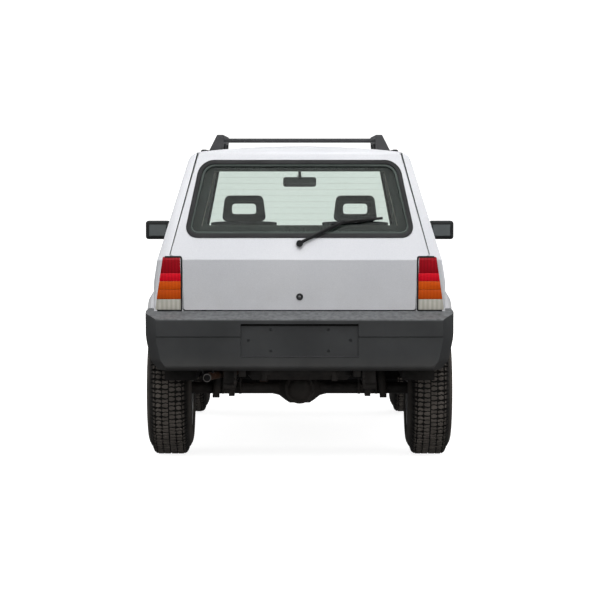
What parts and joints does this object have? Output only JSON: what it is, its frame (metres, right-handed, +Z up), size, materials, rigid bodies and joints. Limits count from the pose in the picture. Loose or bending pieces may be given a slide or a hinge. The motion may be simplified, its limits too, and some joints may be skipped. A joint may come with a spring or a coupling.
{
  "type": "hatchback",
  "caption": "Small boxy three-door four-wheel-drive hatchback with high ride height, roof rails with cross bars, black bumpers and opening doors, tailgate and bonnet.",
  "frame": {"origin": "on the ground at the centre of the car's outline", "axes": "+Y forward, +X to the car's right, +Z up"},
  "size_m": [1.732, 3.4, 1.592],
  "materials": {
    "paint": "gloss",
    "black_plastic": "matt",
    "dark_trim": "matt",
    "black_metal": "satin",
    "steel": "satin",
    "cast": "matt",
    "glass": "gloss",
    "lamp_clear": "gloss",
    "lamp_red": "gloss",
    "lamp_amber": "gloss",
    "tyre": "matt",
    "rim": "satin",
    "cloth": "matt"
  },
  "bodies": {
    "body": {"floor_pan": "black_metal", "side_panel_right": "paint", "side_panel_left": "paint", "roof_panel": "paint", "rear_panel": "paint", "front_wings": "paint", "cowl_panel": "black_plastic", "nose_panel": "paint", "headlamps": "lamp_clear", "grille": "black_plastic", "front_structure": "black_metal", "engine_block": "cast", "gearbox": "cast", "rear_axle": "black_metal", "rear_springs": "black_metal", "propshaft": "black_metal", "fuel_tank": "black_metal", "exhaust": "steel", "front_suspension": "black_metal", "bay_parts": "dark_trim", "tail_lamps": "dark_trim", "tail_lenses": "lamp_red", "fixed_glass": "glass", "rear_bumper": "black_plastic", "front_bumper": "black_plastic", "front_indicators": "lamp_amber", "dashboard": "dark_trim", "steering_column": "dark_trim", "controls": "black_metal", "seat_frames": "black_metal", "front_seats": "cloth", "headrests": "cloth", "rear_seat": "cloth", "interior_mirror": "dark_trim", "roof_rack": "black_metal", "front_wipers": "black_metal", "tow_eyes": "black_metal"},
    "bonnet": {"bonnet": "paint"},
    "door_right": {"door_right": "paint", "door_glass_right": "glass", "mirror_right": "black_plastic"},
    "door_left": {"door_left": "paint", "door_glass_left": "glass", "mirror_left": "black_plastic"},
    "tailgate": {"tailgate": "paint", "tailgate_glass": "glass", "rear_wiper": "black_metal"},
    "steering_wheel": {"steering_wheel": "black_plastic"},
    "knuckle_front_right": {"knuckle_front_right": "black_metal"},
    "knuckle_front_left": {"knuckle_front_left": "black_metal"},
    "wheel_front_right": {"rim_front_right": "rim", "tyre_front_right": "tyre"},
    "wheel_front_left": {"rim_front_left": "rim", "tyre_front_left": "tyre"},
    "wheel_rear_right": {"rim_rear_right": "rim", "tyre_rear_right": "tyre"},
    "wheel_rear_left": {"rim_rear_left": "rim", "tyre_rear_left": "tyre"}
  },
  "joints": [
    {"name": "door_right_hinge", "type": "hinge", "parent": "body", "child": "door_right", "pos_m": [0.704, 0.586, 0.685], "axis": [0, 0, 1], "range_deg": [0, 65]},
    {"name": "door_left_hinge", "type": "hinge", "parent": "body", "child": "door_left", "pos_m": [-0.704, 0.586, 0.685], "axis": [0, 0, -1], "range_deg": [0, 65]},
    {"name": "tailgate_hinge", "type": "hinge", "parent": "body", "child": "tailgate", "pos_m": [0, -1.444, 1.51498], "axis": [-1, 0, 0], "range_deg": [0, 75]},
    {"name": "bonnet_hinge", "type": "hinge", "parent": "body", "child": "bonnet", "pos_m": [0, 0.818, 0.98033], "axis": [1, 0, 0], "range_deg": [0, 60]},
    {"name": "steering_wheel_turn", "type": "hinge", "parent": "body", "child": "steering_wheel", "pos_m": [-0.297, 0.325, 0.955], "axis": [0, -0.9063, 0.4226], "range_deg": [-510, 510]},
    {"name": "steer_right", "type": "hinge", "parent": "body", "child": "knuckle_front_right", "pos_m": [0.561, 1.06, 0.215], "axis": [-0.1831, 0, 0.9831], "range_deg": [-30, 30]},
    {"name": "steer_left", "type": "hinge", "parent": "body", "child": "knuckle_front_left", "pos_m": [-0.561, 1.06, 0.215], "axis": [0.1831, 0, 0.9831], "range_deg": [-30, 30]},
    {"name": "spin_front_right", "type": "hinge", "parent": "knuckle_front_right", "child": "wheel_front_right", "pos_m": [0.641, 1.06, 0.33], "axis": [-1, 0, 0], "continuous": true},
    {"name": "spin_front_left", "type": "hinge", "parent": "knuckle_front_left", "child": "wheel_front_left", "pos_m": [-0.641, 1.06, 0.33], "axis": [-1, 0, 0], "continuous": true},
    {"name": "spin_rear_right", "type": "hinge", "parent": "body", "child": "wheel_rear_right", "pos_m": [0.641, -1.11, 0.33], "axis": [-1, 0, 0], "continuous": true},
    {"name": "spin_rear_left", "type": "hinge", "parent": "body", "child": "wheel_rear_left", "pos_m": [-0.641, -1.11, 0.33], "axis": [-1, 0, 0], "continuous": true}
  ],
  "couplings": [
    {"joint": "steer_right", "follows": "steering_wheel_turn", "ratio": 0.058818},
    {"joint": "steer_left", "follows": "steering_wheel_turn", "ratio": 0.058818}
  ]
}
